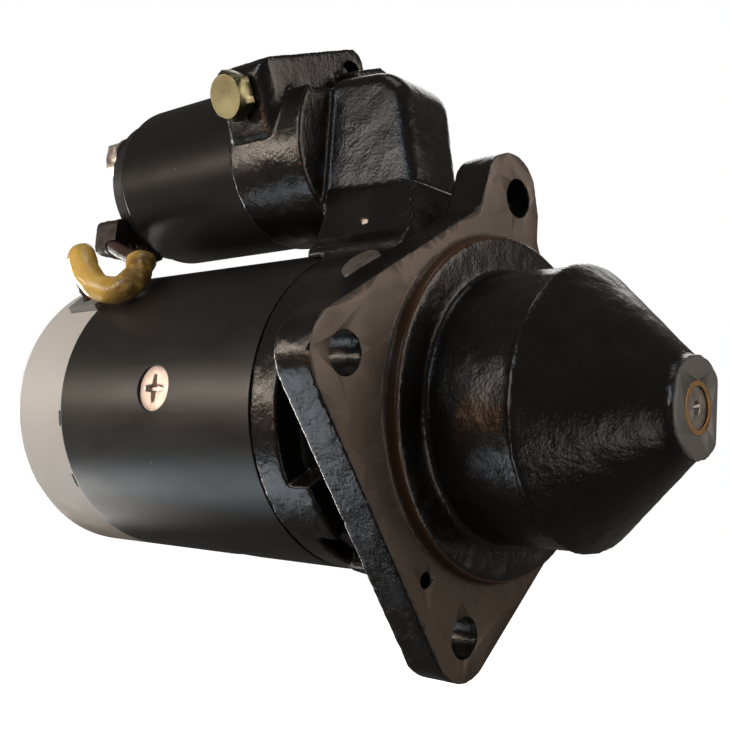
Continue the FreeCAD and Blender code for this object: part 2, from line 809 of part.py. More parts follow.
def solenoid_inside():
    coil = cut(rod("-172", "-111", "29.5", z=SOLENOID), rod("-173", "-110", "11", z=SOLENOID))
    node(coil, "solenoid_coil")
    tube = cut(
        rod("-172", "-110", "10.9", z=SOLENOID),
        rod("-173", "-109", "dims.plunger_radius + 0.06", z=SOLENOID),
    )
    node(tube, "solenoid_guide_tube")
    core = fuse(
        rod("-177", "-172.1", "30.4", z=SOLENOID),
        rod("-172.2", "-166", "dims.plunger_radius", z=SOLENOID),
    )
    node(cut(core, rod("-178", "-160", "2.6", z=SOLENOID)), "solenoid_core")


BATTERY_STUD = (-21.0, 108.7)
MOTOR_STUD = (-8.0, 79.0)
STUD_RADIUS = 5.0
STUD_HEAD_RADIUS = 5.6
STUD_END = -198.7
NUT_REAR = -197.2
NUT_DEPTH = 8.2
SPADE = (20.0, 108.0)


def solenoid_cap():
    """Moulded cap that carries the studs, with a chamber for the contact disc."""
    body = fuse(
        rod("-183.5", "-177.1", "30.3", z=SOLENOID),
        rod("dims.cap_end", "-181.3", "dims.cap_radius", z=SOLENOID),
    )
    chamber = rod("-185.2", "-177", "28.8", z=SOLENOID)
    holes = [chamber]
    for y, z in (BATTERY_STUD, MOTOR_STUD):
        holes.append(rod("-190", "-184", str(STUD_RADIUS + 0.05), str(y), str(z)))
    node(cut(body, *holes), "solenoid_cap")


def terminal_stud(name, place_yz, nut_width):
    """Copper stud with its head inside the cap, and a steel nut outside."""
    y, z = str(place_yz[0]), str(place_yz[1])
    stem = (str(STUD_RADIUS), y, z)
    stud = fuse(rod("-185.1", "-183.3", str(STUD_HEAD_RADIUS), y, z), rod(str(STUD_END), "-183.3", *stem))
    node(stud, name + "_stud")
    nut = aimed_x(hex_prism(nut_width, NUT_DEPTH), NUT_REAR, place_yz)
    node(cut(nut, rod("-199", "-188", *stem)), name + "_nut")


def battery_washer():
    y, z = str(BATTERY_STUD[0]), str(BATTERY_STUD[1])
    hole = rod("-190", "-186", str(STUD_RADIUS), y, z)
    node(cut(rod("-189", "dims.cap_end", "9.6", y, z), hole), "battery_washer")


def terminal_plate():
    """Flat copper eye on the motor stud, with a tongue out into the boot."""
    y, z = MOTOR_STUD
    tongue = block(("-189", "dims.cap_end"), ("-21", y), (z - 9.0, z - 1.0))
    eye = rod("-189", "dims.cap_end", "9", str(y), str(z))
    return cut(fuse(eye, tongue), rod("-190", "-186", str(STUD_RADIUS), str(y), str(z)))


def spade_terminal():
    y, z = SPADE
    node(block(("-198", "dims.cap_end"), (y - 3.15, y + 3.15), (z - 0.4, z + 0.4)), "spade_terminal")


def plunger_group():
    node(rod("-154.4", "-62", "dims.plunger_radius", z=SOLENOID), "plunger")
    washer = rod("-62", "-60", "12.8", z=SOLENOID)
    shank = rod("-60", "-55.5", "6", z=SOLENOID)
    yoke_block = block(("-56.2", "-42.6"), ("-6", "6"), ("97", "109"))
    slot = block(("-53.8", "-45"), ("-7", "7"), ("96", "106"))
    node(fuse(washer, shank, cut(yoke_block, slot)), "plunger_link")
    spring = cut(
        rod("dims.spigot_front + 0.1", "-62.1", "12.6", z=SOLENOID),
        rod("dims.spigot_front - 1", "-60", "10.2", z=SOLENOID),
    )
    node(spring, "return_spring")


def contact_group():
    disc = rod("-180.3", "-178.3", "26.5", z=SOLENOID)
    stem = rod("-182.1", "-170", "2.5", z=SOLENOID)
    node(fuse(disc, stem), "contact_disc")


def lock_bolt():
    """Hexagon bolt across the clamp ring that locks the solenoid's spigot."""
    head_depth = 7.0
    head = hex_prism(17.0, head_depth)
    cap = column("9.4", head_depth + 0.3)
    crown = common(head, cap)
    bolt = fuse(crown, column("4.9", "55", foot=head_depth - 0.2))
    near_face = -34.3
    bolt.Placement.Base.z = near_face - head_depth
    node(lock_axis(bolt), "lock_bolt")


def bearing_plate_screw():
    head = column("6.7", "4.5")
    shank = column("3.2", "14", foot=-13.9)
    node(aimed(fuse(head, shank), SCREW_STATION, size("yoke_radius") + 0.1, SCREW_ANGLE), "housing_screw")


# ---------------------------------------------------------------- field lead
LEAD_ROUTE = [
    (-180.2, -35.0, 36.3),
    (-180.2, -45.2, 46.8),
    (-182.5, -46.0, 57.0),
    (-174.0, -51.0, 58.8),
    (-168.0, -52.0, 49.0),
    (-159.0, -50.5, 42.8),
    (-151.0, -46.5, 42.6),
    (-147.0, -42.0, 49.0),
    (-152.0, -37.5, 56.5),
    (-170.0, -34.0, 62.0),
    (-193.0, -25.0, 70.0),
]
SLEEVE_FIRST = 2
SLEEVE_LAST = 8
LEAD_RADIUS = 3.1
SLEEVE_RADIUS = 5.7


def rounded_path(points):
    """Straight runs joined by tangent arcs."""
    corners = [FreeCAD.Vector(*point) for point in points]
    edges = []
    start = corners[0]
    for before, corner, after in zip(corners, corners[1:], corners[2:]):
        back = before - corner
        ahead = after - corner
        turn = math.pi - back.getAngle(ahead)
        reach = 0.45 * min(back.Length, ahead.Length)
        back.normalize()
        ahead.normalize()
        enter = corner + back * reach
        leave = corner + ahead * reach
        radius = reach / math.tan(turn / 2.0)
        print("lead bend radius %.2f mm" % radius)
        inward = (back + ahead).normalize()
        centre = corner + inward * (radius / math.cos(turn / 2.0))
        middle = centre - inward * radius
        edges.append(Part.LineSegment(start, enter).toShape())
        edges.append(Part.Arc(enter, middle, leave).toShape())
        start = leave
    edges.append(Part.LineSegment(start, corners[-1]).toShape())
    return Part.Wire(edges)


def tube_along(points, radius):
    path = rounded_path(points)
    first = path.Edges[0]
    ring = Part.Circle(first.valueAt(first.FirstParameter), first.tangentAt(first.FirstParameter), radius)
    section = Part.Wire([ring.toShape()])
    return path.makePipeShell([section], True, False)


def field_cable():
    cable = doc.addObject("Part::Feature", "cable")
    cable.Shape = tube_along(LEAD_ROUTE, LEAD_RADIUS)
    return cable


def field_lead():
    """Braided field lead, formed in a loop, and its woven sleeve."""
    cable = node(field_cable(), "field_lead")
    length = rounded_path(LEAD_ROUTE).Length
    section = math.pi * LEAD_RADIUS**2
    print("lead length %.1f mm" % length)
    print("lead volume %.0f mm3, section times length %.0f mm3" % (cable.Shape.Volume, section * length))
    covered = LEAD_ROUTE[SLEEVE_FIRST : SLEEVE_LAST + 1]
    sleeve = doc.addObject("Part::Feature", "sleeve")
    sleeve.Shape = tube_along(covered, SLEEVE_RADIUS).cut(cable.Shape)
    node(sleeve, "lead_sleeve")


def lead_boot():
    """Rubber boot under the solenoid cap, moulded round the end of the lead and its terminal."""
    body = block(("-199.5", "-184"), ("-29.5", "-3"), ("65.5", "80.5"))
    corners = rounded(body, 3.0, lambda edge: edge.BoundBox.XLength > 10.0)
    cap_space = rod("dims.cap_end", "-180", "dims.cap_radius + 0.3", z=SOLENOID)
    case_space = rod("-182", "-170", "dims.solenoid_radius + 0.3", z=SOLENOID)
    nut_space = rod("-200", "-186", "10.2", str(MOTOR_STUD[0]), str(MOTOR_STUD[1]))
    node(cut(corners, cap_space, case_space, nut_space, terminal_plate(), field_cable()), "lead_boot")


def export_nodes():
    doc.recompute()
    for item in doc.Objects:
        if "Invalid" in item.State or "Error" in item.State:
            raise RuntimeError("failed object: %s" % item.Label)
    for item in nodes:
        if item.Shape.isNull() or not item.Shape.isValid():
            raise RuntimeError("bad shape: %s" % item.Label)
    for item in nodes:
        item.Shape.exportStep("parts/%s.step" % item.Label)


drive_end_housing()
nose_bush()
yoke()
for number, degrees in enumerate(pole_angles(), start=1):
    pole_shoe(number, degrees)
    pole_screw(number, degrees)
field_coils()
rear_cover()
rear_bush()
for number, degrees in enumerate(THROUGH_ANGLES, start=1):
    through_bolt(number, degrees)
brush_gear()
grommet()
armature_shaft()
armature_core()
armature_winding()
commutator()
stop_ring()
centre_bearing()
drive_sleeve()
clutch_shell()
clutch_cover()
pinion()
shift_lever()
lever_pivot_pin()
solenoid_case()
solenoid_inside()
solenoid_cap()
terminal_stud("battery", BATTERY_STUD, 17.5)
battery_washer()
terminal_stud("motor", MOTOR_STUD, 16.5)
node(terminal_plate(), "lead_terminal")
spade_terminal()
plunger_group()
contact_group()
lock_bolt()
bearing_plate_screw()
field_lead()
lead_boot()
export_nodes()
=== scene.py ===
import json
import math

import bmesh
import bpy
import numpy as np
from mathutils import Matrix, Quaternion, Vector, noise


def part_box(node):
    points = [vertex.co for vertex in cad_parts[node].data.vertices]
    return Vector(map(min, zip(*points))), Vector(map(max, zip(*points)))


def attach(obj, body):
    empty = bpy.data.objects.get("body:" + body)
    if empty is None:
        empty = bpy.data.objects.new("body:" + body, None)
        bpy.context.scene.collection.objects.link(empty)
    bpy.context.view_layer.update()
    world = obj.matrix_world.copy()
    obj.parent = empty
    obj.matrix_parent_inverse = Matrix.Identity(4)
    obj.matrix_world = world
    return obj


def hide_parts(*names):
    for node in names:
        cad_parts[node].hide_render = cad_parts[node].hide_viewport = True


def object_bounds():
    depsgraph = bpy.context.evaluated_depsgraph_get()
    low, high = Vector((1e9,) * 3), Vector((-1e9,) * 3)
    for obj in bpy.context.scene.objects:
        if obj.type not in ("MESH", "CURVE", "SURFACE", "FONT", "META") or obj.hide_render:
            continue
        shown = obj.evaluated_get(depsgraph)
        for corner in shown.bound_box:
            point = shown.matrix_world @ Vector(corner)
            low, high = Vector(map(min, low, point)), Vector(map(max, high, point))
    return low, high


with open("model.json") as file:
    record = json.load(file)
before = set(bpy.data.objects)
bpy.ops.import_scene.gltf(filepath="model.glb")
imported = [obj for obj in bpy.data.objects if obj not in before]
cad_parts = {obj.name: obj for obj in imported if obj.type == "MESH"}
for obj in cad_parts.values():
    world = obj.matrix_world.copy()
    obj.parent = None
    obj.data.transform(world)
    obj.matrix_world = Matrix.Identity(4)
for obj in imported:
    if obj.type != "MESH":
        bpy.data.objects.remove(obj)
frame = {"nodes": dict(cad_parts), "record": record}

# Starter motor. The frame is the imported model's own: metres, +X along the shaft towards the nose,
# +Z towards the solenoid, origin on the shaft axis in the flange's mounting face.

CAD_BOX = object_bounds()
NODES = frame["nodes"]
MM = 0.001
PILOT = next(m for m in frame["record"]["mounts"] if m["name"] == "pilot")
PILOT_RADIUS = PILOT["dims"]["r_mm"] * MM
PILOT_LENGTH = PILOT["dims"]["length_mm"] * MM
NOSE_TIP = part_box("nose_casting")[1].x
BOLT_HOLES = [m for m in frame["record"]["mounts"] if m["kind"] == "bore"]


# ---------------------------------------------------------------- camera, backdrop and light
def in_scene(name, data):
    """A new object in the scene that holds some data."""
    made = bpy.data.objects.new(name, data)
    bpy.context.scene.collection.objects.link(made)
    return made


def aim(obj, place, target, roll=0.0):
    """Put a camera or lamp at a place, looking at a target."""
    direction = Vector(target) - Vector(place)
    turn = direction.to_track_quat("-Z", "Y")
    obj.rotation_mode = "QUATERNION"
    obj.location = place
    obj.rotation_quaternion = turn @ Quaternion((0, 0, 1), roll)


def around(target, distance, azimuth, elevation):
    """A place round a target; azimuth 0 is on the -Y side and 90 on the +X side."""
    a, e = math.radians(azimuth), math.radians(elevation)
    way = Vector((math.sin(a) * math.cos(e), -math.cos(a) * math.cos(e), math.sin(e)))
    return Vector(target) + way * distance


CAMERA_TARGET = Vector((-0.0605, 0.0, 0.0163))
CAMERA_DISTANCE = 0.4044
CAMERA_AZIMUTH = 42.86
CAMERA_ELEVATION = -6.63
CAMERA_ROLL = 3.79
CAMERA_LENS = 54.3


def make_camera():
    data = bpy.data.cameras.new("camera")
    data.lens = CAMERA_LENS
    data.sensor_width = 36.0
    data.clip_start = 0.01
    camera = in_scene("camera", data)
    place = around(CAMERA_TARGET, CAMERA_DISTANCE, CAMERA_AZIMUTH, CAMERA_ELEVATION)
    aim(camera, place, CAMERA_TARGET, math.radians(CAMERA_ROLL))
    bpy.context.scene.camera = camera


# Each light's distance, azimuth and elevation round the target, its size, watts and colour.
LIGHTS = {
    "soft_left": (1.0, -43, 4, (0.34, 0.08), 1.7, (1.0, 0.86, 0.72)),
    "cool_low": (1.0, -60, -38, (0.5, 0.3), 1.2, (0.82, 0.91, 1.0)),
    "key_front": (1.2, -14, 10, (0.5, 0.5), 4.2, (1.0, 0.96, 0.90)),
    "face_soft": (1.2, 112, 14, (0.8, 0.8), 6.2, (1.0, 0.88, 0.78)),
    "front_low": (1.2, 84, -24, (0.8, 0.5), 2.4, (1.0, 0.90, 0.80)),
    "top_soft": (1.1, 20, 78, (0.5, 0.4), 1.0, (1.0, 0.97, 0.94)),
    "back_soft": (1.2, 210, 40, (0.8, 0.6), 3.5, (1.0, 0.98, 0.96)),
    "cap_left": (1.2, -95, -12, (0.5, 0.7), 14.0, (1.0, 0.97, 0.92)),
    "warm_glint": (0.8, -20, -8, (0.03, 0.14), 0.4, (1.0, 0.42, 0.15)),
    "cool_glint": (0.9, 8, 24, (0.05, 0.08), 0.6, (0.6, 0.78, 1.0)),
}


def make_lights():
    """Soft lights on both sides, a cool one from below, and small ones for sharp glints."""
    for name, (distance, azimuth, elevation, size, power, colour) in LIGHTS.items():
        data = bpy.data.lights.new(name, "AREA")
        data.shape = "RECTANGLE"
        data.size, data.size_y = size
        data.energy = power
        data.color = colour
        lamp = in_scene(name, data)
        lamp.visible_camera = False
        aim(lamp, around(CAMERA_TARGET, distance, azimuth, elevation), CAMERA_TARGET)


def make_world():
    """White behind the object, and a dimmer room for what its surfaces reflect."""
    world = bpy.data.worlds.new("studio")
    bpy.context.scene.world = world
    world.use_nodes = True
    tree = world.node_tree
    tree.nodes.clear()
    output = tree.nodes.new("ShaderNodeOutputWorld")
    choose = tree.nodes.new("ShaderNodeMixShader")
    path = tree.nodes.new("ShaderNodeLightPath")
    room = tree.nodes.new("ShaderNodeBackground")
    white = tree.nodes.new("ShaderNodeBackground")
    room.inputs["Color"].default_value = (0.30, 0.28, 0.26, 1.0)
    room.inputs["Strength"].default_value = 0.3
    white.inputs["Color"].default_value = (1.0, 1.0, 1.0, 1.0)
    white.inputs["Strength"].default_value = 1.0
    tree.links.new(path.outputs["Is Camera Ray"], choose.inputs[0])
    tree.links.new(room.outputs[0], choose.inputs[1])
    tree.links.new(white.outputs[0], choose.inputs[2])
    tree.links.new(choose.outputs[0], output.inputs["Surface"])


FLOOR_DROP = 0.12
FLOOR_REACH = 4.0


def make_floor():
    """Pale seamless floor, well below the held-up starter."""
    level = CAD_BOX[0].z - FLOOR_DROP
    signs = ((-1, -1), (1, -1), (1, 1), (-1, 1))
    corners = [(x * FLOOR_REACH, y * FLOOR_REACH, level) for x, y in signs]
    mesh = bpy.data.meshes.new("floor")
    mesh.from_pydata(corners, [], [(0, 1, 2, 3)])
    floor = in_scene("floor", mesh)
    paint = Paint("floor_white", (0.85, 0.85, 0.85), 1.0)
    paint.set("Specular IOR Level", 0.0)
    paint.set("Emission Color", (1.0, 1.0, 1.0, 1.0))
    paint.set("Emission Strength", 1.0)
    mesh.materials.append(paint.material)
    floor.visible_diffuse = False
    floor.visible_glossy = False


def set_view():
    view = bpy.context.scene.view_settings
    view.view_transform = "Standard"
    view.look = "None"


# ---------------------------------------------------------------- material building blocks
class Paint:
    """A material under construction: a principled shader and the textures that feed it."""

    def __init__(self, name, colour, roughness, metallic=0.0, **sockets):
        self.material = bpy.data.materials.new(name)
        self.material.use_nodes = True
        self.tree = self.material.node_tree
        self.shader = self.tree.nodes["Principled BSDF"]
        self.set("Base Color", (*colour, 1.0))
        self.set("Roughness", roughness)
        self.set("Metallic", metallic)
        for key, value in sockets.items():
            self.set(key.replace("_", " "), value)
        self.colour = None
        self.normal = None
        self.start = (*colour, 1.0)
        self.place = self.node("ShaderNodeTexCoord").outputs["Object"]

    def set(self, name, value):
        self.shader.inputs[name].default_value = value

    def node(self, kind, **settings):
        made = self.tree.nodes.new(kind)
        for key, value in settings.items():
            setattr(made, key, value)
        return made

    def link(self, source, target):
        self.tree.links.new(source, target)

    def stretched(self, scale):
        """The place coordinates, scaled along each axis."""
        mapping = self.node("ShaderNodeMapping")
        self.link(self.place, mapping.inputs["Vector"])
        mapping.inputs["Scale"].default_value = scale
        return mapping.outputs["Vector"]

    def noise(self, scale, detail=4.0, roughness=0.55, vector=None):
        made = self.node("ShaderNodeTexNoise")
        made.inputs["Scale"].default_value = scale
        made.inputs["Detail"].default_value = detail
        made.inputs["Roughness"].default_value = roughness
        self.link(vector or self.place, made.inputs["Vector"])
        return made.outputs["Fac"]

    def cells(self, scale):
        made = self.node("ShaderNodeTexVoronoi")
        made.inputs["Scale"].default_value = scale
        self.link(self.place, made.inputs["Vector"])
        return made.outputs["Distance"]

    def span(self, value, low, high, out_low=0.0, out_high=1.0):
        """Map a value's span onto another, clamped."""
        made = self.node("ShaderNodeMapRange")
        made.inputs["From Min"].default_value = low
        made.inputs["From Max"].default_value = high
        made.inputs["To Min"].default_value = out_low
        made.inputs["To Max"].default_value = out_high
        self.link(value, made.inputs["Value"])
        return made.outputs["Result"]

    def math(self, operation, first, second):
        made = self.node("ShaderNodeMath", operation=operation)
        for socket, value in zip(made.inputs, (first, second)):
            if isinstance(value, float):
                socket.default_value = value
            else:
                self.link(value, socket)
        return made.outputs[0]

    def axis(self, name):
        made = self.node("ShaderNodeSeparateXYZ")
        self.link(self.place, made.inputs[0])
        return made.outputs[name]

    def shaft_radius(self):
        """Distance from the shaft's axis."""
        flat = self.stretched((0.0, 1.0, 1.0))
        made = self.node("ShaderNodeVectorMath", operation="LENGTH")
        self.link(flat, made.inputs[0])
        return made.outputs["Value"]

    def edges(self, low, high):
        """Outer edges and corners by their pointiness; on the casting this gives real wear and painted
        copper glints.
        """
        return self.span(self.node("ShaderNodeNewGeometry").outputs["Pointiness"], low, high)

    def both(self, *masks):
        joined = masks[0]
        for mask in masks[1:]:
            joined = self.math("MULTIPLY", joined, mask)
        return joined

    def tint(self, mask, colour):
        """Lay a colour over what is there, as far as the mask goes."""
        made = self.node("ShaderNodeMix", data_type="RGBA")
        self.link(mask, made.inputs["Factor"])
        if self.colour is None:
            made.inputs["A"].default_value = self.start
        else:
            self.link(self.colour, made.inputs["A"])
        made.inputs["B"].default_value = (*colour, 1.0)
        self.colour = made.outputs["Result"]
        self.link(self.colour, self.shader.inputs["Base Color"])

    def vary_roughness(self, value, low, high):
        """Drive the roughness between two levels."""
        self.link(self.span(value, 0.25, 0.75, low, high), self.shader.inputs["Roughness"])

    def bump(self, height, strength, distance):
        made = self.node("ShaderNodeBump")
        made.inputs["Strength"].default_value = strength
        made.inputs["Distance"].default_value = distance
        self.link(height, made.inputs["Height"])
        if self.normal is not None:
            self.link(self.normal, made.inputs["Normal"])
        self.normal = made.outputs["Normal"]
        self.link(self.normal, self.shader.inputs["Normal"])

    def soft_edges(self, radius):
        """Shade sharp edges as if they were slightly rounded."""
        made = self.node("ShaderNodeBevel", samples=6)
        made.inputs["Radius"].default_value = radius
        self.normal = made.outputs["Normal"]
        self.link(self.normal, self.shader.inputs["Normal"])


# ---------------------------------------------------------------- materials
def casting_paint():
    """Gloss black enamel over rough cast iron, machined bare on the flange's face, browned on the pilot."""
    paint = Paint("casting_paint", (0.0085, 0.0075, 0.0068), 0.25)
    patches = paint.noise(38.0, 3.0)
    paint.tint(paint.span(patches, 0.5, 0.75, 0.0, 0.5), (0.022, 0.018, 0.0155))
    dust = paint.noise(420.0, 5.0, 0.7)
    paint.tint(paint.span(dust, 0.68, 0.8, 0.0, 0.3), (0.07, 0.05, 0.038))

    along = paint.axis("X")
    out = paint.shaft_radius()
    pilot_edge = PILOT_RADIUS + 0.0002
    face = paint.both(
        paint.span(along, -0.0004, -0.0002),
        paint.span(out, pilot_edge, pilot_edge + 0.0002),
    )
    wall = paint.both(
        paint.span(along, -0.0001, 0.0002),
        paint.span(along, PILOT_LENGTH, PILOT_LENGTH - 0.0003),
        paint.span(out, PILOT_RADIUS - 0.0012, PILOT_RADIUS - 0.0006),
    )
    tip = paint.span(along, NOSE_TIP - 0.0006, NOSE_TIP - 0.0003)
    # Casting edges: partly real wear to bare metal, partly painted copper glints where light would catch
    # them
    wear_and_glint_edges = paint.both(paint.edges(0.56, 0.64), paint.span(paint.noise(90.0, 3.0), 0.45, 0.6))

    # Painted light: the flange's machined face is painted lighter towards the top, in patches, as if light
    # falls there
    lit_top = paint.span(paint.axis("Z"), -0.06, 0.085)
    patchy_light = paint.span(paint.noise(24.0, 4.0), 0.3, 0.7, 0.5, 1.0)
    paint.tint(paint.math("MULTIPLY", wear_and_glint_edges, 0.45), (0.16, 0.10, 0.07))
    paint.tint(wall, (0.075, 0.036, 0.018))
    paint.tint(face, (0.085, 0.066, 0.052))
    # Painted highlight: a lighter grey laid on the upper part of the flange's face
    paint.tint(paint.both(face, lit_top, patchy_light), (0.20, 0.17, 0.15))
    stains = paint.span(paint.noise(15.0, 4.0, 0.6), 0.48, 0.66, 0.0, 0.7)
    paint.tint(paint.both(face, stains), (0.055, 0.038, 0.027))
    spots = paint.span(paint.noise(170.0, 5.0, 0.65), 0.58, 0.74, 0.0, 0.55)
    paint.tint(paint.both(face, spots), (0.045, 0.033, 0.026))
    paint.tint(tip, (0.13, 0.13, 0.128))

    bare_metal = paint.math("MAXIMUM", face, tip)
    paint.link(paint.math("MULTIPLY", bare_metal, 0.5), paint.shader.inputs["Metallic"])
    gloss = paint.span(paint.noise(60.0, 4.0), 0.25, 0.75, 0.14, 0.34)
    dull = paint.math("MULTIPLY", bare_metal, 0.26)
    paint.link(paint.math("ADD", gloss, dull), paint.shader.inputs["Roughness"])

    cast = paint.math("SUBTRACT", 1.0, bare_metal)
    paint.bump(paint.both(paint.noise(210.0, 3.0), cast), 0.2, 0.0008)
    paint.bump(paint.both(paint.noise(900.0, 3.0, 0.6), cast), 0.3, 0.0005)
    turned = paint.noise(2400.0, 2.0, vector=paint.stretched((0.0, 1.0, 0.04)))
    paint.bump(paint.both(turned, bare_metal), 0.1, 0.0003)
    return paint.material


def tube_paint(name, sheen):
    """Satin black paint, wiped along the tube, with a few light specks."""
    paint = Paint(name, (0.012, 0.011, 0.010), 0.38, Specular_IOR_Level=sheen)
    streaks = paint.noise(26.0, 4.0, vector=paint.stretched((0.25, 1.0, 1.0)))
    paint.tint(paint.span(streaks, 0.45, 0.75, 0.0, 0.7), (0.03, 0.026, 0.023))
    specks = paint.cells(95.0)
    paint.tint(paint.span(specks, 0.035, 0.025, 0.0, 0.5), (0.35, 0.33, 0.3))
    wiped = paint.noise(90.0, 5.0, vector=paint.stretched((0.4, 1.0, 1.0)))
    paint.vary_roughness(wiped, 0.32, 0.46)
    paint.soft_edges(0.0006)
    paint.bump(paint.noise(650.0, 3.0), 0.06, 0.0004)
    paint.bump(paint.noise(120.0, 2.0), 0.05, 0.001)
    return paint.material


def cover_paint():
    """Light grey satin cover, slightly soiled."""
    paint = Paint("cover_paint", (0.74, 0.735, 0.71), 0.42)
    paint.tint(paint.span(paint.noise(30.0, 4.0), 0.45, 0.8, 0.0, 0.5), (0.62, 0.60, 0.56))
    paint.tint(paint.span(paint.noise(210.0, 5.0, 0.7), 0.66, 0.8, 0.0, 0.5), (0.3, 0.27, 0.23))
    paint.vary_roughness(paint.noise(80.0, 4.0), 0.36, 0.52)
    paint.soft_edges(0.0006)
    paint.bump(paint.noise(900.0, 3.0), 0.05, 0.0003)
    return paint.material


def plain_metal(name, colour, roughness, grime):
    """Bare or plated metal with fine scratches and grime."""
    paint = Paint(name, colour, roughness, 1.0)
    paint.tint(paint.span(paint.noise(240.0, 5.0, 0.65), 0.5, 0.75, 0.0, 0.6), grime)
    paint.vary_roughness(paint.noise(500.0, 4.0), roughness * 0.75, roughness * 1.35)
    paint.soft_edges(0.0003)
    scratches = paint.noise(1500.0, 3.0, vector=paint.stretched((1.0, 1.0, 0.2)))
    paint.bump(scratches, 0.08, 0.0002)
    return paint.material


def turned_metal(name, colour, roughness, grime):
    """Lathe-turned metal with fine rings round the shaft line."""
    paint = Paint(name, colour, roughness, 1.0)
    paint.tint(paint.span(paint.noise(120.0, 5.0), 0.5, 0.75, 0.0, 0.5), grime)
    paint.vary_roughness(paint.noise(300.0, 4.0), roughness * 0.8, roughness * 1.3)
    paint.soft_edges(0.0004)
    bands = paint.noise(2200.0, 2.0, vector=paint.stretched((1.0, 0.02, 0.02)))
    paint.bump(bands, 0.12, 0.0002)
    return paint.material


def soft_surface(name, colour, patch, roughness):
    """Rubber, moulding or lacquer with an uneven dull surface."""
    paint = Paint(name, colour, roughness)
    paint.tint(paint.span(paint.noise(150.0, 4.0), 0.45, 0.72, 0.0, 0.7), patch)
    paint.vary_roughness(paint.noise(260.0, 4.0), roughness * 0.8, roughness * 1.2)
    paint.soft_edges(0.0006)
    paint.bump(paint.noise(900.0, 4.0), 0.2, 0.0004)
    return paint.material


def laminated_metal():
    """Stacked sheet iron."""
    paint = Paint("laminated_metal", (0.24, 0.23, 0.22), 0.45, 0.9)
    sheets = paint.node("ShaderNodeTexWave", bands_direction="X")
    paint.link(paint.place, sheets.inputs["Vector"])
    sheets.inputs["Scale"].default_value = 320.0
    paint.tint(paint.span(sheets.outputs["Fac"], 0.0, 0.3, 0.8, 0.0), (0.06, 0.05, 0.045))
    paint.bump(sheets.outputs["Fac"], 0.2, 0.0003)
    return paint.material


def rusty_screw():
    """Plated head with rust in and round its recess."""
    paint = Paint("rusty_screw", (0.62, 0.53, 0.47), 0.36, 0.85)
    paint.tint(paint.span(paint.noise(240.0, 5.0, 0.65), 0.5, 0.75, 0.0, 0.5), (0.36, 0.25, 0.19))
    paint.tint(paint.edges(0.47, 0.40), (0.10, 0.035, 0.02))
    paint.vary_roughness(paint.noise(500.0, 4.0), 0.3, 0.5)
    paint.soft_edges(0.0003)
    paint.bump(paint.noise(1400.0, 3.0), 0.1, 0.0002)
    return paint.material


def sleeve_weave():
    """Lacquered woven sleeve: glossy ochre, darkened with oil towards its open end."""
    paint = Paint("sleeve_weave", (0.92, 0.56, 0.10), 0.3, Coat_Weight=0.4, Coat_Roughness=0.15)
    paint.tint(paint.span(paint.noise(120.0, 3.0), 0.4, 0.7, 0.0, 0.8), (0.96, 0.70, 0.22))
    open_end = paint.span(paint.axis("X"), -0.1560, -0.1465)
    oil = paint.both(open_end, paint.span(paint.noise(260.0, 4.0), 0.2, 0.5))
    paint.tint(paint.math("MULTIPLY", oil, 0.85), (0.16, 0.075, 0.02))
    paint.tint(paint.span(paint.noise(600.0, 4.0, 0.7), 0.6, 0.75, 0.0, 0.5), (0.50, 0.28, 0.05))
    paint.vary_roughness(paint.noise(300.0, 4.0), 0.22, 0.45)
    paint.bump(paint.noise(1300.0, 3.0), 0.15, 0.0004)
    return paint.material


MATERIALS = {}


def make_materials():
    MATERIALS.update(
        cast_black=casting_paint(),
        tube_black=tube_paint("tube_paint", 0.55),
        cover_grey=cover_paint(),
        steel=turned_metal("turned_steel", (0.42, 0.40, 0.38), 0.3, (0.2, 0.17, 0.14)),
        dark_steel=plain_metal("dark_steel", (0.12, 0.115, 0.11), 0.42, (0.05, 0.045, 0.04)),
        laminations=laminated_metal(),
        zinc=plain_metal("zinc_plate", (0.66, 0.58, 0.53), 0.36, (0.36, 0.25, 0.19)),
        zinc_yellow=plain_metal("yellow_zinc", (0.27, 0.25, 0.14), 0.34, (0.18, 0.14, 0.09)),
        bronze=turned_metal("sintered_bronze", (0.42, 0.25, 0.11), 0.36, (0.2, 0.11, 0.06)),
        copper=plain_metal("bare_copper", (0.60, 0.31, 0.19), 0.34, (0.25, 0.13, 0.08)),
        winding=soft_surface("varnished_winding", (0.22, 0.07, 0.03), (0.10, 0.03, 0.015), 0.3),
        carbon=soft_surface("copper_graphite", (0.06, 0.045, 0.04), (0.12, 0.07, 0.05), 0.5),
        moulding_black=soft_surface("black_moulding", (0.02, 0.02, 0.021), (0.03, 0.028, 0.027), 0.45),
        rubber_black=soft_surface("dark_rubber", (0.028, 0.017, 0.014), (0.05, 0.03, 0.024), 0.5),
        rubber_grey=soft_surface("grey_rubber", (0.26, 0.27, 0.27), (0.18, 0.18, 0.18), 0.6),
        sleeve_yellow=sleeve_weave(),
        rusty=rusty_screw(),
        braid=soft_surface("dark_braid", (0.06, 0.03, 0.022), (0.12, 0.06, 0.035), 0.5),
    )


def dress_nodes():
    """Give every CAD node the material of its slot; the solenoid's paint is duller than the tube's."""
    for entry in frame["record"]["subparts"]:
        mesh = NODES[entry["node"]].data
        mesh.materials.clear()
        mesh.materials.append(MATERIALS[entry["material_slot"]])
    dull = NODES["solenoid_case"].data.materials
    dull.clear()
    dull.append(tube_paint("solenoid_paint", 0.2))


# ---------------------------------------------------------------- cast housing
CASTING = ("drive_end_housing", "nose_casting")
CAST_GRID = 0.9 * MM
MOST_TRIANGLES = 190000
SNAP = 0.9 * CAST_GRID
BLIND_HOLE = (-32.0 * MM, -55.3 * MM, 2.6 * MM)
HOLE_DEPTH = 16.0 * MM
GRAIN = ((160.0, 0.16 * MM), (520.0, 0.10 * MM))
GRAIN_SINK = 0.12 * MM


def evaluated_mesh(obj):
    bpy.context.view_layer.update()
    depsgraph = bpy.context.evaluated_depsgraph_get()
    return bpy.data.meshes.new_from_object(obj.evaluated_get(depsgraph))


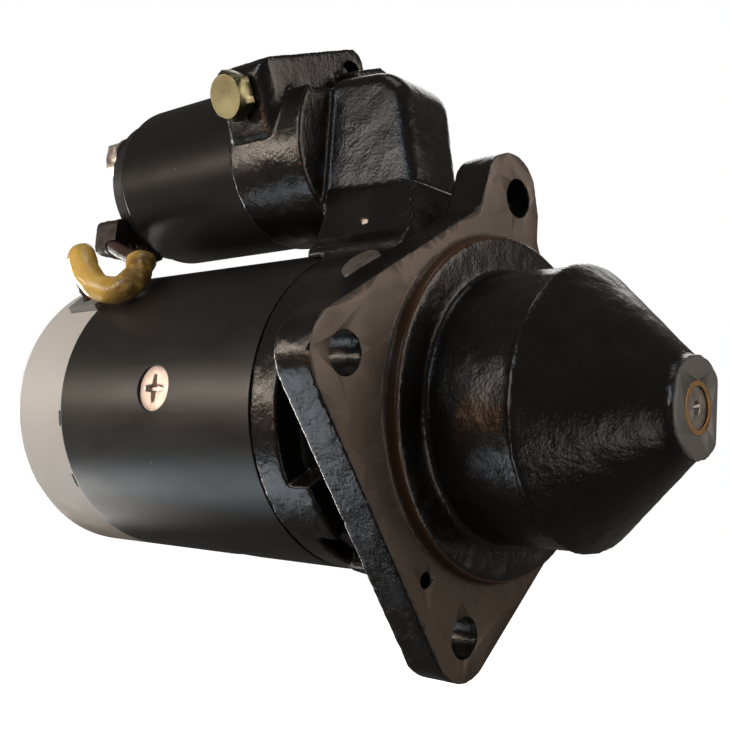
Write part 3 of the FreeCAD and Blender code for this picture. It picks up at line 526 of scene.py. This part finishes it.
def points_of(mesh):
    flat = np.empty(len(mesh.vertices) * 3)
    mesh.vertices.foreach_get("co", flat)
    return flat.reshape(-1, 3)


def normals_of(mesh):
    flat = np.empty(len(mesh.vertices) * 3)
    mesh.vertices.foreach_get("normal", flat)
    return flat.reshape(-1, 3)


def move_points(mesh, points):
    mesh.vertices.foreach_set("co", points.ravel())
    mesh.update()


def remeshed(obj, grid, factor, steps):
    """Give an object an even skin of small faces and smooth it; returns the smoothing."""
    remesh = obj.modifiers.new("remesh", "REMESH")
    remesh.mode = "VOXEL"
    remesh.voxel_size = grid
    smooth = obj.modifiers.new("smooth", "SMOOTH")
    smooth.factor = factor
    smooth.iterations = steps
    return smooth


def round_holes():
    """Centre and radius of each round hole in the flange's face."""
    for hole in BOLT_HOLES:
        yield hole["pos_m"][1], hole["pos_m"][2], hole["dims"]["r_mm"] * MM
    yield BLIND_HOLE


def snapped(points, smoothed):
    """Smoothed points, with the machined faces put back on their true planes and bores."""
    x, y, z = points.T
    radius = np.hypot(y, z)
    result = smoothed.copy()
    on_face = (np.abs(x) < SNAP) & (radius > PILOT_RADIUS + 1.0 * MM)
    result[on_face, 0] = 0.0
    on_tip = x > NOSE_TIP - SNAP
    result[on_tip, 0] = NOSE_TIP
    on_wall = (x > SNAP) & (x < PILOT_LENGTH - SNAP) & (np.abs(radius - PILOT_RADIUS) < SNAP)
    scale = PILOT_RADIUS / radius[on_wall]
    result[on_wall, 1] = y[on_wall] * scale
    result[on_wall, 2] = z[on_wall] * scale
    for centre_y, centre_z, wide in round_holes():
        away_y, away_z = y - centre_y, z - centre_z
        away = np.hypot(away_y, away_z)
        in_hole = (np.abs(away - wide) < SNAP) & (x < 0.5 * MM) & (x > -HOLE_DEPTH)
        result[in_hole, 1] = centre_y + away_y[in_hole] * wide / away[in_hole]
        result[in_hole, 2] = centre_z + away_z[in_hole] * wide / away[in_hole]
    return result, on_face | on_tip | on_wall


def cast_grain(points, normals, machined):
    """Push the cast skin in and out a little, as sand moulding leaves it."""
    offsets = np.empty(len(points))
    for index, point in enumerate(points):
        swell = sum(height * noise.noise(Vector(point) * scale) for scale, height in GRAIN)
        offsets[index] = swell - GRAIN_SINK
    offsets[machined] = 0.0
    return points + normals * offsets[:, None]


def joined_casting():
    """The casting's nodes in one mesh."""
    both = bmesh.new()
    for part in CASTING:
        both.from_mesh(NODES[part].data)
    mesh = bpy.data.meshes.new("casting")
    both.to_mesh(mesh)
    both.free()
    return mesh


def make_housing():
    """The drive end housing as a sand casting: softened edges and a rough skin."""
    housing = in_scene("housing_casting", joined_casting())
    smooth = remeshed(housing, CAST_GRID, 0.5, 5)
    smooth.show_viewport = False
    sharp = points_of(evaluated_mesh(housing))
    smooth.show_viewport = True
    mesh = evaluated_mesh(housing)
    points, machined = snapped(sharp, points_of(mesh))
    move_points(mesh, points)
    move_points(mesh, cast_grain(points, normals_of(mesh), machined))
    housing.modifiers.clear()
    housing.data = mesh

    thin = housing.modifiers.new("thin", "DECIMATE")
    thin.ratio = min(1.0, MOST_TRIANGLES / (2.0 * len(mesh.polygons)))
    mesh = evaluated_mesh(housing)
    mesh.shade_smooth()
    housing.modifiers.clear()
    housing.data = mesh

    even = housing.modifiers.new("even", "WEIGHTED_NORMAL")
    even.mode = "FACE_AREA"
    even.weight = 80
    mesh.materials.clear()
    mesh.materials.append(MATERIALS["cast_black"])
    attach(housing, "casing")
    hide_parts(*CASTING)


# ---------------------------------------------------------------- pieces made from profiles and loops
def add_piece(name, mesh, slot, replaced=(), smooth_angle=0.6):
    """A finished piece: its material, and the CAD nodes it stands for."""
    piece = in_scene(name, mesh)
    mesh.materials.clear()
    mesh.materials.append(MATERIALS[slot])
    mesh.shade_smooth()
    mesh.set_sharp_from_angle(angle=smooth_angle)
    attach(piece, "casing")
    if replaced:
        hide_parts(*replaced)
    return piece


def mesh_from(name, points, faces):
    mesh = bpy.data.meshes.new(name)
    mesh.from_pydata([tuple(p) for p in points], [], faces)
    mesh.validate()
    tidy = bmesh.new()
    tidy.from_mesh(mesh)
    bmesh.ops.recalc_face_normals(tidy, faces=tidy.faces)
    tidy.to_mesh(mesh)
    tidy.free()
    return mesh


def angles(columns):
    """Evenly spaced angles round a circle."""
    return [2.0 * math.pi * column / columns for column in range(columns)]


def ring_faces(rows, columns):
    """Quads over a stack of rings, then the two faces that close its ends."""
    faces = []
    for row in range(rows - 1):
        low, high = row * columns, (row + 1) * columns
        for column in range(columns):
            following = (column + 1) % columns
            faces.append((low + column, low + following, high + following, high + column))
    last = (rows - 1) * columns
    faces.append(tuple(reversed(range(columns))))
    faces.append(tuple(range(last, last + columns)))
    return faces


def turned(profile, place, columns, shape=None):
    """Revolve (radius, height) points about a frame's Z; shape can alter each point's radius."""
    points = []
    for radius, height in profile:
        for angle in angles(columns):
            wide = shape(radius, height, angle) if shape else radius
            points.append(place @ Vector((wide * math.cos(angle), wide * math.sin(angle), height)))
    return points, ring_faces(len(profile), columns)


def looking(origin, direction, twist=0.0):
    """A frame at a point with its Z along a direction."""
    turn = Vector(direction).normalized().to_track_quat("Z", "Y").to_matrix().to_4x4()
    return Matrix.Translation(Vector(origin)) @ turn @ Matrix.Rotation(twist, 4, "Z")


LOCK_BAR_TILT = 22.7
LOCK_FLATS = 17.0 * MM
LOCK_HEAD_DEPTH = 7.0 * MM
LOCK_TWIST = 4.0
LOCK_SHANK = [(4.9 * MM, 0.5 * MM), (4.9 * MM, -48.0 * MM), (4.2 * MM, -48.8 * MM)]
STUD_RADIUS = 5.0 * MM
HEX_CORNER_ROUND = 0.12 * MM
HEX_FACE = 0.47


def hexagon_radius(flats, angle):
    """Distance to a hexagon's side at an angle, with its corners a little rounded."""
    sixth = math.pi / 3.0
    local = (angle + sixth / 2.0) % sixth - sixth / 2.0
    return min(flats / 2.0 / math.cos(local), flats / math.sqrt(3.0) - HEX_CORNER_ROUND)


def hex_solid(name, flats, depth, bore, place, slot, replaced):
    """Hexagon nut, or bolt head without a bore, with the turned chamfer that rounds its corners."""
    corner = 1.01 * flats / math.sqrt(3.0)
    face = HEX_FACE * flats
    inner = bore if bore else 0.02 * flats
    rows = [
        (inner, 0.0),
        (face, 0.0),
        (corner, 0.07 * flats),
        (corner, depth - 0.10 * flats),
        (face * 0.99, depth),
    ]
    if bore:
        rows += [(face * 0.72, depth), (inner * 1.12, depth), (inner, depth - 0.8 * MM), (inner, 0.0)]
    else:
        rows += [(face * 0.72, depth - 0.04 * MM), (inner, depth - 0.32 * MM)]

    def shape(radius, _height, angle):
        if radius <= 1.02 * face:
            return radius
        return min(radius, hexagon_radius(flats, angle))

    points, faces = turned(rows, place, 96, shape)
    if bore:
        faces = faces[:-2]
    add_piece(name, mesh_from(name, points, faces), slot, (replaced,))


def make_lock_bolt():
    """Hexagon bolt across the clamp ring, its head towards the near side."""
    points = np.array([v.co for v in NODES["lock_bolt"].data.vertices])
    tilt = math.radians(LOCK_BAR_TILT)
    axis = Vector((0.0, -math.cos(tilt), -math.sin(tilt)))
    along = points @ np.array(axis)
    top = points[along > along.max() - 1.0 * MM]
    top_centre = (Vector(top.min(0)) + Vector(top.max(0))) / 2.0
    place = looking(top_centre - axis * LOCK_HEAD_DEPTH, axis, math.radians(LOCK_TWIST))
    hex_solid("lock_bolt_head", LOCK_FLATS, LOCK_HEAD_DEPTH, 0.0, place, "zinc_yellow", "lock_bolt")
    points, faces = turned(LOCK_SHANK, place, 40)
    add_piece("lock_bolt_shank", mesh_from("lock_bolt_shank", points, faces), "zinc_yellow")


def make_nut(name):
    low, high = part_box(name)
    centre = (low + high) / 2.0
    flats = min(high.y - low.y, high.z - low.z)
    place = looking((high.x, centre.y, centre.z), (-1, 0, 0))
    hex_solid(name + "_cut", flats, high.x - low.x, STUD_RADIUS, place, "zinc", name)


THREAD_PITCH = 1.5 * MM
THREAD_DEPTH = 0.75 * MM
ROWS_PER_TURN = 8.0
STUD_HEAD_DEPTH = 1.8 * MM
THREAD_START = 2.0 * MM


def make_stud(name):
    """Threaded terminal stud; the thread is a helical ripple."""
    low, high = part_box(name)
    centre = (low + high) / 2.0
    place = looking((high.x, centre.y, centre.z), (-1, 0, 0))
    head = min(high.y - low.y, high.z - low.z) / 2.0
    length = high.x - low.x
    rows = [(head, 0.0), (head, STUD_HEAD_DEPTH), (STUD_RADIUS, STUD_HEAD_DEPTH)]
    step = THREAD_PITCH / ROWS_PER_TURN
    steps = int((length - 3.0 * MM) / step)
    rows += [(STUD_RADIUS, THREAD_START + index * THREAD_PITCH / ROWS_PER_TURN) for index in range(steps)]
    rows += [(STUD_RADIUS, length - 0.9 * MM), (STUD_RADIUS - 0.8 * MM, length)]

    def thread(radius, height, angle):
        if not THREAD_START < height < length - 0.8 * MM:
            return radius
        turn = (height / THREAD_PITCH - angle / (2.0 * math.pi)) % 1.0
        return radius - THREAD_DEPTH * abs(2.0 * turn - 1.0)

    points, faces = turned(rows, place, 48, thread)
    add_piece(name + "_threaded", mesh_from(name, points, faces), "copper", (name,), 0.9)


SCREW_RINGS = 26
SCREW_COLUMNS = 120
CROSS_DEPTH = 2.0 * MM
SCREW_CROWN = 0.25 * MM
SCREW_SIDE = [(5.0 * MM, -4.0 * MM), (4.98 * MM, -15.9 * MM)]


def cross_recess(x, y, arm):
    """Share of the cross recess's full depth at a point of the head; its arms flare inwards."""
    deepest = 0.0
    for a, b in ((x, y), (y, x)):
        half = 1.45 * MM - 0.5 * MM * abs(a) / arm
        inside = min(1.0, max(0.0, (half - abs(b)) / (0.45 * MM)))
        along = min(1.0, max(0.0, (arm - abs(a)) / (1.6 * MM)))
        deepest = max(deepest, inside * along)
    return deepest


def make_pole_screw(number):
    """Countersunk pole screw with a flared cross recess."""
    name = "pole_screw_%d" % number
    points = np.array([v.co for v in NODES[name].data.vertices])
    reach = np.hypot(points[:, 1], points[:, 2])
    top = points[reach > reach.max() - 1.5 * MM]
    middle = (top.min(0) + top.max(0)) / 2.0
    out = Vector((0.0, middle[1], middle[2])).normalized()
    head = (top[:, 0].max() - top[:, 0].min()) / 2.0
    level = max(points @ np.array(out))
    place = looking(Vector((middle[0], 0, 0)) + out * level, out)
    grid = []
    for ring in range(1, SCREW_RINGS + 1):
        share = ring / SCREW_RINGS
        crown = -SCREW_CROWN * share**6
        for angle in angles(SCREW_COLUMNS):
            x, y = share * head * math.cos(angle), share * head * math.sin(angle)
            grid.append(place @ Vector((x, y, crown - CROSS_DEPTH * cross_recess(x, y, 0.62 * head))))
    side, _faces = turned([(head, -0.7 * MM)] + SCREW_SIDE, place, SCREW_COLUMNS)
    grid += side
    faces = ring_faces(len(grid) // SCREW_COLUMNS, SCREW_COLUMNS)
    screw = add_piece(name + "_cut", mesh_from(name, grid, faces), "zinc", (name,), 0.5)
    screw.data.materials.clear()
    screw.data.materials.append(MATERIALS["rusty"])


# ---------------------------------------------------------------- field lead, its sleeve and boot
LEAD_ROUTE = [
    (-180.2, -35.0, 36.3),
    (-180.2, -45.2, 46.8),
    (-182.5, -46.0, 57.0),
    (-174.0, -51.0, 58.8),
    (-168.0, -52.0, 49.0),
    (-159.0, -50.5, 42.8),
    (-151.0, -46.5, 42.6),
    (-147.0, -42.0, 49.0),
    (-152.0, -37.5, 56.5),
    (-170.0, -34.0, 62.0),
    (-193.0, -25.0, 70.0),
]
SLEEVE_FIRST = 2
SLEEVE_LAST = 8
LEAD_RADIUS = 3.1 * MM
SLEEVE_RADIUS = 5.7 * MM
BEND_SHARE = 0.45
ARC_STEPS = 8


def rounded(points):
    """A path of straight runs joined by tangent arcs."""
    corners = [Vector(p) * MM for p in points]
    path = [corners[0]]
    for before, corner, after in zip(corners, corners[1:], corners[2:]):
        back, ahead = before - corner, after - corner
        reach = BEND_SHARE * min(back.length, ahead.length)
        half_turn = (math.pi - back.angle(ahead)) / 2.0
        back.normalize()
        ahead.normalize()
        radius = reach / math.tan(half_turn)
        centre = corner + (back + ahead).normalized() * (radius / math.cos(half_turn))
        first, last = corner + back * reach - centre, corner + ahead * reach - centre
        for index in range(ARC_STEPS + 1):
            path.append(centre + first.slerp(last, index / ARC_STEPS).normalized() * radius)
    path.append(corners[-1])
    return path


def even_route(points, step):
    """Evenly spaced points along the rounded path."""
    path = rounded(points)
    lengths = [0.0]
    for start, end in zip(path, path[1:]):
        lengths.append(lengths[-1] + (end - start).length)
    count = max(2, round(lengths[-1] / step))
    even = []
    segment = 0
    for index in range(count + 1):
        target = lengths[-1] * index / count
        while segment < len(path) - 2 and lengths[segment + 1] < target:
            segment += 1
        gap = lengths[segment + 1] - lengths[segment]
        share = (target - lengths[segment]) / gap if gap > 0 else 0.0
        even.append(path[segment].lerp(path[segment + 1], min(1.0, share)))
    return even


def tube_on(route, columns, radius_at):
    """A tube round a route; radius_at(share, angle) gives its surface."""
    tangents = []
    for index in range(len(route)):
        ahead = route[min(index + 1, len(route) - 1)]
        behind = route[max(index - 1, 0)]
        tangents.append((ahead - behind).normalized())
    side = tangents[0].orthogonal().normalized()
    points = []
    for index, (place, tangent) in enumerate(zip(route, tangents)):
        side = (side - tangent * side.dot(tangent)).normalized()
        up = tangent.cross(side)
        share = index / (len(route) - 1)
        for angle in angles(columns):
            out = side * math.cos(angle) + up * math.sin(angle)
            points.append(place + out * radius_at(share, angle))
    return points, ring_faces(len(route), columns)


BRAID_STRANDS = 12
BRAID_PITCH = 2.6 * MM


def make_lead():
    """Braided lead from the grommet round through the sleeve to the boot."""
    route = even_route(LEAD_ROUTE, 0.45 * MM)
    length = sum((b - a).length for a, b in zip(route, route[1:]))

    def braid(share, angle):
        along = 2.0 * math.pi * share * length / BRAID_PITCH
        one = math.sin(BRAID_STRANDS / 2 * angle + along)
        other = math.sin(BRAID_STRANDS / 2 * angle - along)
        return LEAD_RADIUS - 0.28 * MM + 0.14 * MM * (one * other + max(one, other))

    points, faces = tube_on(route, 48, braid)
    mesh = mesh_from("lead_braid", points, faces)
    return add_piece("lead_braid", mesh, "braid", ("field_lead",), 1.2), route, length


SLEEVE_RIBS = 34.0
SLEEVE_WALL = 0.7 * MM


def make_sleeve():
    """Ribbed woven sleeve, crumpled where it turns, frayed at its open end."""
    route = even_route(LEAD_ROUTE[SLEEVE_FIRST : SLEEVE_LAST + 1], 0.5 * MM)

    def surface(share, angle):
        weave = 0.10 * MM * math.sin(2.0 * math.pi * SLEEVE_RIBS * share) * math.cos(14.0 * angle)
        place = Vector((math.cos(angle), math.sin(angle), share * 9.0)) * 1.3
        crumple = 0.42 * MM * noise.noise(place)
        wave = max(0.0, math.sin(share * 37.0 + 2.0 * math.sin(angle)))
        fold = 0.55 * MM * wave * max(0.0, share - 0.6) * 2.0
        flare = 0.5 * MM * max(0.0, share - 0.93) / 0.07
        return SLEEVE_RADIUS - 0.2 * MM + weave + crumple - fold + flare

    points, faces = tube_on(route, 72, surface)
    sleeve = mesh_from("sleeve", points, faces[:-2])
    piece = add_piece("sleeve_woven", sleeve, "sleeve_yellow", ("lead_sleeve",), 1.2)
    wall = piece.modifiers.new("wall", "SOLIDIFY")
    wall.thickness = SLEEVE_WALL
    wall.offset = -1.0
    return piece, route


THREAD_COUNT = 90
THREAD_RADIUS = 0.17 * MM


def make_frayed_threads(route):
    """Loose threads of the sleeve's cut end."""
    end = route[-1]
    way = (route[-1] - route[-3]).normalized()
    side = way.orthogonal().normalized()
    up = way.cross(side)
    points = []
    faces = []
    for thread, angle in enumerate(angles(THREAD_COUNT)):
        seed = Vector((thread * 1.7, 3.1, 0.4))
        out = side * math.cos(angle) + up * math.sin(angle)
        base = end + out * (SLEEVE_RADIUS - SLEEVE_WALL) - way * 1.0 * MM
        drift = Vector((noise.noise(seed), noise.noise(seed * 2.3), noise.noise(seed * 3.1))) * 0.9
        droop = out * 0.35 + drift
        length = (1.6 + 5.0 * abs(noise.noise(seed * 1.9))) * MM
        bent = [base + way * length * t + droop * length * t * t for t in (0.0, 0.35, 0.7, 1.0)]
        first = len(points)
        strand, quads = tube_on(bent, 6, lambda share, _angle: THREAD_RADIUS * (1.0 - 0.6 * share))
        points += strand
        faces += [tuple(first + corner for corner in face) for face in quads]
    return add_piece("sleeve_threads", mesh_from("threads", points, faces), "braid", (), 1.2)


def make_boot():
    """Lumpy moulded boot that grips the lead under the solenoid."""
    plain = in_scene("boot", NODES["lead_boot"].data.copy())
    remeshed(plain, 0.5 * MM, 0.6, 9)
    mesh = evaluated_mesh(plain)
    bpy.data.objects.remove(plain)
    normals = normals_of(mesh)
    points = points_of(mesh)
    lumps = np.empty(len(points))
    for index, point in enumerate(points):
        place = Vector(point)
        lumps[index] = noise.noise(place * 230.0) * 0.55 + noise.noise(place * 700.0) * 0.2
    move_points(mesh, points + normals * (lumps * 0.6 * MM - 0.15 * MM)[:, None])
    return add_piece("boot_moulded", mesh, "rubber_black", ("lead_boot",), 3.0)


def make_lead_group():
    lead, route, length = make_lead()
    sleeve, sleeve_route = make_sleeve()
    threads = make_frayed_threads(sleeve_route)
    boot = make_boot()


def main():
    make_camera()
    make_lights()
    make_world()
    make_floor()
    set_view()
    make_materials()
    dress_nodes()
    make_housing()
    make_lock_bolt()
    for name in ("battery_nut", "motor_nut"):
        make_nut(name)
    for name in ("battery_stud", "motor_stud"):
        make_stud(name)
    for number in range(1, 5):
        make_pole_screw(number)
    make_lead_group()


main()
